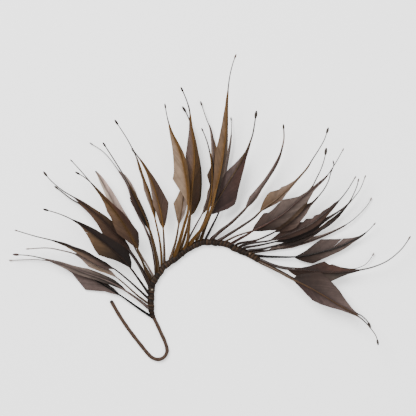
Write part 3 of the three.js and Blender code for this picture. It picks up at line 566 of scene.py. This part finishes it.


# Gathers grids of points into one mesh, with a colour (dye with painted light and shade) and a map place
# for each point
class Cloth:
    def __init__(self):
        self.points, self.dyes, self.places, self.faces, self.slots, self.smooth = [], [], [], [], [], []
        self.count = 0

    def grid(self, points, dyes, places, slot, loop=False, flip=False):
        rows, columns = points.shape[:2]
        self.points.append(points.reshape(-1, 3))
        self.dyes.append(np.broadcast_to(dyes, points.shape).reshape(-1, 3))
        self.places.append(np.broadcast_to(places, (rows, columns, 2)).reshape(-1, 2))
        index = np.arange(rows * columns).reshape(rows, columns) + self.count
        if loop:
            index = np.hstack([index, index[:, :1]])
        a, b, c, d = index[:-1, :-1], index[:-1, 1:], index[1:, 1:], index[1:, :-1]
        quads = np.stack([a, d, c, b] if flip else [a, b, c, d], axis=-1).reshape(-1, 4)
        self.faces.extend(quads.tolist())
        self.slots.extend([slot] * len(quads))
        self.smooth.extend([True] * len(quads))
        self.count += rows * columns
        return index

    def cap(self, ring, slot):
        self.faces.append([int(i) for i in ring])
        self.slots.append(slot)
        self.smooth.append(False)

    def build(self, name, materials):
        points = np.vstack(self.points)
        mesh = bpy.data.meshes.new(name)
        mesh.from_pydata(points.tolist(), [], self.faces)
        mesh.polygons.foreach_set("material_index", self.slots)
        mesh.polygons.foreach_set("use_smooth", self.smooth)
        dye = mesh.attributes.new("dye", "FLOAT_COLOR", "POINT")
        colours = np.hstack([np.vstack(self.dyes), np.ones((len(points), 1))])
        dye.data.foreach_set("color", colours.astype(np.float32).ravel())
        corners = np.empty(len(mesh.loops), np.int32)
        mesh.loops.foreach_get("vertex_index", corners)
        places = np.vstack(self.places)[corners]
        mesh.uv_layers.new(name="OFBake").data.foreach_set("uv", places.astype(np.float32).ravel())
        for material in materials:
            mesh.materials.append(material)
        mesh.update()
        piece = bpy.data.objects.new(name, mesh)
        bpy.context.scene.collection.objects.link(piece)
        return piece


# A round bar along a route. radius and the colours (dye with painted shade) have one row for each place
# along it.
def bar(cloth, route, along, radius, dyes, slot, sides=8, band=(0.0, 1.0)):
    centre, ahead, side, up = route.axes(along)
    angle = np.arange(sides) / sides * 2 * math.pi
    radius = np.broadcast_to(np.asarray(radius, float).reshape(len(along), -1), (len(along), sides))
    points = centre[:, None] + side[:, None] * (np.cos(angle) * radius)[..., None]
    points = points + up[:, None] * (np.sin(angle) * radius)[..., None]
    points[..., 2] = np.maximum(points[..., 2], 0)
    places = np.empty((len(along), sides, 2))
    places[..., 0] = along[:, None] * 0.98 + 0.01
    places[..., 1] = band[0] + (band[1] - band[0]) * np.abs((angle / math.pi + 0.5) % 2 - 1)
    dyes = np.asarray(dyes, float)
    dyes = dyes[:, None, :] if dyes.ndim == 2 else dyes
    index = cloth.grid(points, dyes, places, slot, loop=True)
    cloth.cap(index[0, :-1][::-1], slot)
    cloth.cap(index[-1, :-1], slot)


# One half of a vane: barbs side by side from the shaft to the cut outline
def half_vane(cloth, route, start, finish, outline, sign, tones_and_shade, core, slits, shaft_radius):
    length = route.length
    rows = [(start, 0.0)] + sorted(outline) + [(finish, 0.0008), (finish + VANE_TAPER / length, 0.0004)]
    finish = rows[-1][0]
    x, y = (np.array(column) for column in zip(*rows))
    reach = lambda place: np.interp(place, x, y)
    count = max(24, int((finish - start) * length / BARB_STEP))
    ends = np.linspace(start, finish, count + 1)
    lean = np.radians(np.interp(ends, [start, finish], [31, 20]))
    wide = reach(ends)
    roots = np.maximum(start, np.maximum.accumulate(ends - wide / np.tan(lean) / length))
    roots = np.minimum(roots, ends)
    steps = 8
    s = np.linspace(0, 1, steps)
    across = 1.28 * s - 0.28 * s ** 2

    inner = shaft_radius * 0.45
    out = inner + np.maximum(wide - inner, 0)[:, None] * across
    out = np.minimum(out, np.maximum(wide, 1e-5)[:, None])
    run = roots[:, None] + (ends - roots)[:, None] * s

    # Barbs part a little at random places and far at a slit
    barbs = count
    order = np.arange(barbs)
    shift = np.zeros((barbs, steps))
    partings = [(int(random.integers(6, barbs - 4)), float(random.uniform(0.00006, 0.0002)),
                 float(random.uniform(0.45, 0.8)), 5.0) for _ in range(int(random.integers(1, 4)))]
    for place, width, depth in slits:
        partings.append((int(np.argmin(np.abs(ends - place))), width, 1 - depth, 1.6))
    for at, width, open_from, spread in partings:
        opening = np.clip((s - open_from) / (1 - open_from), 0, 1) ** (1.4 if spread > 2 else 0.6)
        away = np.where(order >= at, 1, -1) * np.exp(-np.abs(order - at + 0.5) / spread)
        shift += away[:, None] * width / 2 / length * opening
    overlap = BARB_OVERLAP * (1 + 1.5 * s) / length
    low, high = run[:-1] + shift - overlap, run[1:] + shift + overlap
    out_low, out_high = out[:-1], out[1:]
    keen = np.ones(steps)
    keen[-1] = 0.97
    middle, middle_out = (low + high) / 2, (out_low + out_high) / 2
    middle_out[:, -1] += random.uniform(-0.00003, 0.00004, barbs)
    low = middle + (low - middle) * keen
    high = middle + (high - middle) * keen
    out_low = middle_out + (out_low - middle_out) * keen
    out_high = middle_out + (out_high - middle_out) * keen

    along = np.clip(np.stack([low, middle, high], axis=-1), start, 1)
    off = np.stack([out_low, middle_out, out_high], axis=-1)
    # Neighbours meet at one height along their edges, so no light shows between them from the side
    ridge = BARB_RIDGE + random.normal(0, 0.00002, barbs)[:, None] * s
    lift = np.stack([np.zeros_like(ridge), np.maximum(ridge, 0.00001), np.zeros_like(ridge)], axis=-1)
    wave = random.uniform(0, 6.28)
    sink = off * math.tan(DROOP) + 0.00022 * np.sin(along * 34 + wave) * off / 0.01
    centre, ahead, side, up = route.axes(along)
    points = centre + side * (sign * off)[..., None] + up * (lift - sink)[..., None]
    points[..., 2] = np.maximum(points[..., 2], 0.0001)

    # Colours drift from base to tip, differ from barb to barb and turn to the core's beside the shaft;
    # the half's tones carry its dye and its painted light and shade
    part = np.clip((along - start) / (finish - start), 0, 1)[..., None]
    base, tip = tones_and_shade
    dyes = base + (tip - base) * (3 - 2 * part) * part ** 2
    dyes = dyes + (core - dyes) * CORE_STRENGTH * np.exp(-(off / CORE_WIDTH) ** 2)[..., None]
    broad = np.convolve(random.normal(0, 1, barbs + 14), np.ones(15) / math.sqrt(15), "valid") * 0.11
    narrow = np.convolve(random.normal(0, 1, barbs + 2), np.ones(3) / math.sqrt(3), "valid") * 0.06
    streak = np.clip(1 + broad + narrow + random.normal(0, 0.04, barbs), 0.6, 1.5)[:, None, None]
    outward = off / np.maximum(off[:, -1:, 1:2], 1e-4)
    shade = 0.88 + 0.3 * outward - 0.14 * outward ** 2 - 0.14 * (outward > 0.96)
    dyes = dyes * (streak * shade)[..., None]

    places = np.empty(along.shape + (2,))
    places[..., 0] = along * 0.98 + 0.01
    places[..., 1] = 0.44 + sign * off / max(y.max(), 1e-4) * 0.42
    for k in range(barbs):
        if wide[k] + wide[k + 1] > inner * 2:
            cloth.grid(points[k], dyes[k], places[k], 0, flip=sign > 0)


# A few fine barb ends left standing on the stripped shaft and at the tip's tuft
def stubs(cloth, route, places, lengths, radius, dye):
    for place, long in zip(places, lengths):
        centre, ahead, side, up = (v[0] for v in route.axes(np.array([place])))
        turn = random.uniform(0, math.pi)
        away = side * math.cos(turn) * random.choice([-1, 1]) + up * math.sin(turn) * 0.6
        wide = np.cross(away, ahead) * 0.00007
        root = centre + away * radius
        tip = root + (away * 0.45 + ahead * 0.9) * long
        tip[2] = max(tip[2], 0.0001)
        points = np.array([[root - wide, root + wide], [tip - wide * 0.3, tip + wide * 0.3]])
        points[..., 2] = np.maximum(points[..., 2], 0.00005)
        cloth.grid(points, dye, np.array([place * 0.98 + 0.01, 0.975]), 0)


def feather(number, spec, vane_look, shaft_look):
    line, _ = smooth_line(spec["shaft"])
    start, finish = (stand_on(line, p)[0] for p in spec["vane"])
    bound, low, high, tip_height = (h / 1000 for h in spec["heights"])
    rise = [(0, min(bound, BOUND_HEIGHT)), (start, low), (finish, high), (1, tip_height)]
    route = Route(spec["shaft"], rise)
    left, right = (tuple(tone(t) for t in side.split()) for side in spec["tones_and_shade"][:2])
    shaft = tone(spec["tones_and_shade"][2])
    cores = spec.get("core", "").split()
    tip = spec.get("tip", "smoke")
    quill = tone(spec.get("quill", spec["tones_and_shade"][2]))
    girth = spec["girth"]
    cloth = Cloth()
    for sign, points, tones_and_shade in ((1, spec["left"], left), (-1, spec["right"], right)):
        core = tone(cores[0 if sign > 0 else -1]) if cores else (left[0] + right[0]) * 0.4
        outline = [stand_on(line, p) for p in points]
        slits = [(stand_on(line, (x, y))[0], width * UNIT, depth)
                 for x, y, width, depth, side in spec.get("slits", []) if side == sign]
        half_vane(cloth, route, start, finish, outline, sign, tones_and_shade, core, slits, RACHIS_RADIUS)

    # The shaft: a round quill, a rachis, and a thin stripped tip with its tuft
    tuft_size = math.sqrt(spec.get("tuft", 1))
    tuft_from = max(finish + 0.005, 1 - TUFT_LENGTH * tuft_size / route.length)
    rings = int(route.length / 0.0011)
    along = np.unique(np.r_[np.linspace(0, tuft_from, rings), start, finish])
    stalk = spec.get("stalk", 1)
    radius = np.interp(along, [0, start, start + (finish - start) * 0.3, finish,
                               (finish + tuft_from) / 2, tuft_from],
                       [QUILL_RADIUS * girth, RACHIS_RADIUS * girth * 0.9, RACHIS_RADIUS * 0.55,
                        STRIPPED_RADIUS * stalk, (STRIPPED_RADIUS + TIP_RADIUS * 2) / 3 * stalk,
                        TIP_RADIUS * stalk])
    radius = radius * (1 + 0.025 * np.sin(along * 70 + number) + random.normal(0, 0.004, len(along)))
    radius = radius * np.clip(0.55 + along * route.length / 0.009, 0, 1)
    part = [0, start * 0.9, start + 0.02, finish, finish + 0.03, 1]
    rows = np.array([quill * 0.6, quill * 0.85, shaft, shaft * 0.7, tone(tip) * 0.8, tone(tip)])
    dyes = np.stack([np.interp(along, part, rows[:, k]) for k in range(3)], axis=1)
    dyes = dyes * (1 + 0.1 * np.sin(along * 47 + number * 2))[:, None]
    bar(cloth, route, along, radius, dyes, 1, sides=9, band=(0.89, 0.93))

    tuft = np.linspace(tuft_from - 0.0006 / route.length, 1, 9)
    bulge = np.sin(np.linspace(0.16, 0.94, 9) * math.pi) ** 0.7
    tuft_tone = tone(spec.get("fluff", "smoke")) * 0.9
    dark = np.tile(tuft_tone, (9, 1))
    bar(cloth, route, tuft, TUFT_RADIUS * tuft_size * bulge + 0.00008, dark, 0,
        sides=8, band=(0.94, 0.96))
    fibres = random.uniform(tuft_from, 0.995, 10)
    stubs(cloth, route, fibres, random.uniform(0.0004, 0.0009, 10), TUFT_RADIUS * 0.7, tuft_tone)
    left_over = np.r_[random.uniform(finish, min(finish + 0.08, tuft_from), 4),
                      random.uniform(max(start - 0.05, 0), start, 2)]
    stubs(cloth, route, left_over, random.uniform(0.0006, 0.0016, 6), STRIPPED_RADIUS, right[1])

    name = f"feather_{number:02d}"
    piece = cloth.build(f"goose_{name}", [vane_look, shaft_look])
    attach(piece, "root")
    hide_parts(name)
    return piece


# Procedural materials

# Colours come from each point's dye with its painted light and shade, varied by noise, with roughness
# and bump from noise
def make_look(name, grain, contrast, rough, bump, bump_scale, fixed):
    look = bpy.data.materials.new(name)
    look.use_nodes = True
    nodes, links = look.node_tree.nodes, look.node_tree.links
    shader = nodes["Principled BSDF"]
    for socket, value in fixed.items():
        shader.inputs[socket].default_value = value
    dye = nodes.new("ShaderNodeAttribute")
    dye.attribute_name = "dye"
    space = nodes.new("ShaderNodeTexCoord")

    def noise(scale, detail):
        node = nodes.new("ShaderNodeTexNoise")
        node.inputs["Scale"].default_value = scale
        node.inputs["Detail"].default_value = detail
        links.new(space.outputs["Object"], node.inputs["Vector"])
        return node.outputs["Fac"]

    def spread(source, low, high):
        node = nodes.new("ShaderNodeMapRange")
        node.inputs["From Min"].default_value = 0.3
        node.inputs["From Max"].default_value = 0.7
        node.inputs["To Min"].default_value = low
        node.inputs["To Max"].default_value = high
        links.new(source, node.inputs["Value"])
        return node.outputs["Result"]

    fade = nodes.new("ShaderNodeVectorMath")
    fade.operation = "SCALE"
    links.new(dye.outputs["Color"], fade.inputs["Vector"])
    links.new(spread(noise(grain, 3.0), 1 - contrast, 1 + contrast), fade.inputs["Scale"])
    links.new(fade.outputs["Vector"], shader.inputs["Base Color"])
    links.new(spread(noise(grain * 2.3, 2.0), *rough), shader.inputs["Roughness"])
    raised = nodes.new("ShaderNodeBump")
    raised.inputs["Strength"].default_value = bump
    raised.inputs["Distance"].default_value = 0.0001
    links.new(noise(bump_scale, 2.0), raised.inputs["Height"])
    links.new(raised.outputs["Normal"], shader.inputs["Normal"])
    return look


vane_look = make_look("feather_vane", 240, 0.14, (0.42, 0.6), 0.25, 5200, {
    "Specular IOR Level": 0.12, "Sheen Weight": 0.02, "Sheen Roughness": 0.4,
})
shaft_look = make_look("feather_shaft", 420, 0.08, (0.26, 0.42), 0.1, 3000, {
    "Specular IOR Level": 0.18, "Coat Weight": 0.02, "Coat Roughness": 0.3,
})
tape_look = make_look("binding_tape", 900, 0.35, (0.5, 0.7), 0.5, 4200, {
    "Specular IOR Level": 0.12,
})
wire_look = make_look("wire_tape", 700, 0.22, (0.55, 0.75), 0.5, 5200, {
    "Specular IOR Level": 0.2,
})

for number, spec in enumerate(FEATHERS, 1):
    feather(number, spec, vane_look, shaft_look)


# Tape wound in a spiral: each turn steps down onto the one before it. It bulges over each quill
# that goes in under it, on that quill's side, and slims down at both ends. Its colour has painted
# shade: each turn is lighter where it stands high and darker where it steps down.
# A few spots of other tones sit on top, each with its place in the plan and its size: on the
# binding they are painted glints, on the wire the dark cut end.
def wound(name, node, look, points, height, base, step, pitch, sides, tones_and_shade, uneven, slim, quills,
          glints_and_marks):
    route = Route(points, [(0, height), (0.5, height), (1, height)])
    rings = int(route.length / pitch * 11)
    along = np.linspace(0, 1, rings + 1)
    angle = np.arange(sides) / sides
    turn = along[:, None] * route.length / pitch
    place = turn + 0.08 * np.sin(turn * 1.7) + 0.05 * np.sin(turn * 4.1) + angle
    phase = place % 1
    rise = np.where(phase < 0.82, 1 - 0.75 * phase / 0.82, (phase - 0.82) / 0.18 * 0.75 + 0.25)
    lump = 0.0002 * uneven * (np.sin(turn * 2.3 + angle * 12.57) + np.sin(turn * 0.9 - angle * 6.28))
    thick = random.uniform(0.4, 1.5, int(place.max()) + 2)[np.floor(place).astype(int)]
    radius = base + step * thick * (rise - 0.4) + lump
    centre, ahead, side, up = route.axes(along)
    for root in quills:
        at = stand_on(route.line, root)[0]
        middle, _, across, _ = (v[0] for v in route.axes(np.array([at])))
        turned = 0 if np.dot(on_plan([root])[0] - middle, across) > 0 else math.pi
        inside = (at - along) * route.length
        fade = np.where(inside > 0, np.exp(-np.maximum(inside, 0) / 0.006),
                        np.exp(-(inside / 0.0015) ** 2))
        facing = np.maximum(np.cos(angle * 2 * math.pi - turned), 0) ** 1.5
        radius = radius + BURIED_QUILL * fade[:, None] * facing
    from_end = np.minimum(along, 1 - along)[:, None] * route.length
    radius = radius * (1 - slim * np.exp(-(from_end / SLIM_REACH) ** 1.5))
    radius = radius * np.clip(from_end / 0.0012, 0.12, 1) ** 0.4

    dark, light = (tone(t) for t in tones_and_shade)
    shade = random.uniform(1 - uneven, 1, int(place.max()) + 2)[np.floor(place).astype(int)]
    # Painted shade: each turn is darker where it steps down and lighter where it stands high.
    painted_turn_shade = (np.clip(rise * 1.1 - 0.15, 0, 1) ** 1.4 * shade)[..., None]
    dyes = dark + (light - dark) * painted_turn_shade
    spots = centre[:, None] + side[:, None] * (np.cos(angle * 2 * math.pi) * radius)[..., None]
    # Painted highlights: the light spots on the binding are painted glints; the wire's dark spot is its
    # cut end.
    for x, y, glint_and_mark_tone, size in glints_and_marks:
        away = np.linalg.norm((spots - on_plan([(x, y)])[0])[..., :2], axis=-1)
        near = np.exp(-(away / size) ** 2) * (angle < 0.5)
        dyes = dyes + (tone(glint_and_mark_tone) - dyes) * near[..., None]
    cloth = Cloth()
    bar(cloth, route, along, radius, dyes, 0, sides=sides)
    piece = cloth.build(name, [look])
    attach(piece, "root")
    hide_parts(node)
    return piece


# The binding's ivory and sand spots are painted glints.
wound("spiral_binding", "binding", tape_look, SPINE, BINDING_HEIGHT, BINDING_RADIUS,
      0.0004, TAPE_PITCH, 32, ("soot", "umber"), 0.9, 0.34, [spec["shaft"][0] for spec in FEATHERS],
      [(152, 289.8, "ivory", 0.0006), (234.6, 243.4, "ivory", 0.0005), (249.6, 253.4, "sand", 0.0006)])
wound("taped_wire", "wire", wire_look, WIRE, WIRE_RADIUS, WIRE_RADIUS,
      0.0001, WIRE_TAPE_PITCH, 18, ("bark", "umber"), 0.3, 0, [], [(110.2, 300, "ink", 0.003)])


# Floor, light and camera
def area_light(name, place, size, power):
    lamp = bpy.data.lights.new(name, "AREA")
    lamp.shape = "DISK"
    lamp.size = size
    lamp.energy = power
    holder = bpy.data.objects.new(name, lamp)
    holder.location = place
    holder.rotation_euler = (-holder.location).to_track_quat("-Z", "Y").to_euler()
    bpy.context.scene.collection.objects.link(holder)


floor_mesh = bpy.data.meshes.new("floor")
floor_mesh.from_pydata([(-6, -6, 0), (6, -6, 0), (6, 6, 0), (-6, 6, 0)], [], [(0, 1, 2, 3)])
floor = bpy.data.objects.new("floor", floor_mesh)
floor.location.z = -0.0003
paper = bpy.data.materials.new("pale_floor")
paper.use_nodes = True
paper.node_tree.nodes["Principled BSDF"].inputs["Base Color"].default_value = (0.93, 0.93, 0.93, 1)
paper.node_tree.nodes["Principled BSDF"].inputs["Roughness"].default_value = 0.9
paper.node_tree.nodes["Principled BSDF"].inputs["Specular IOR Level"].default_value = 0.1
paper.node_tree.nodes["Principled BSDF"].inputs["Emission Color"].default_value = (1, 1, 1, 1)
paper.node_tree.nodes["Principled BSDF"].inputs["Emission Strength"].default_value = FLOOR_GLOW
floor_mesh.materials.append(paper)
bpy.context.scene.collection.objects.link(floor)

world = bpy.data.worlds.new("studio")
world.use_nodes = True
world.node_tree.nodes["Background"].inputs["Color"].default_value = (1, 1, 1, 1)
world.node_tree.nodes["Background"].inputs["Strength"].default_value = 0.5
bpy.context.scene.world = world
area_light("key", (-0.9, 1.2, 1.9), 1.6, 110)
area_light("fill", (1.5, -0.9, 2.0), 1.8, 36)

LENS = 500
FRAME_WIDTH = 416 * UNIT
camera = bpy.data.cameras.new("camera")
camera.lens = LENS
camera.sensor_width = 36
camera.clip_end = 50
eye = bpy.data.objects.new("camera", camera)
middle = on_plan([(208, 208)], 0.012)[0]
eye.location = (middle[0], middle[1], middle[2] + FRAME_WIDTH / 36 * LENS)
bpy.context.scene.collection.objects.link(eye)
bpy.context.scene.camera = eye
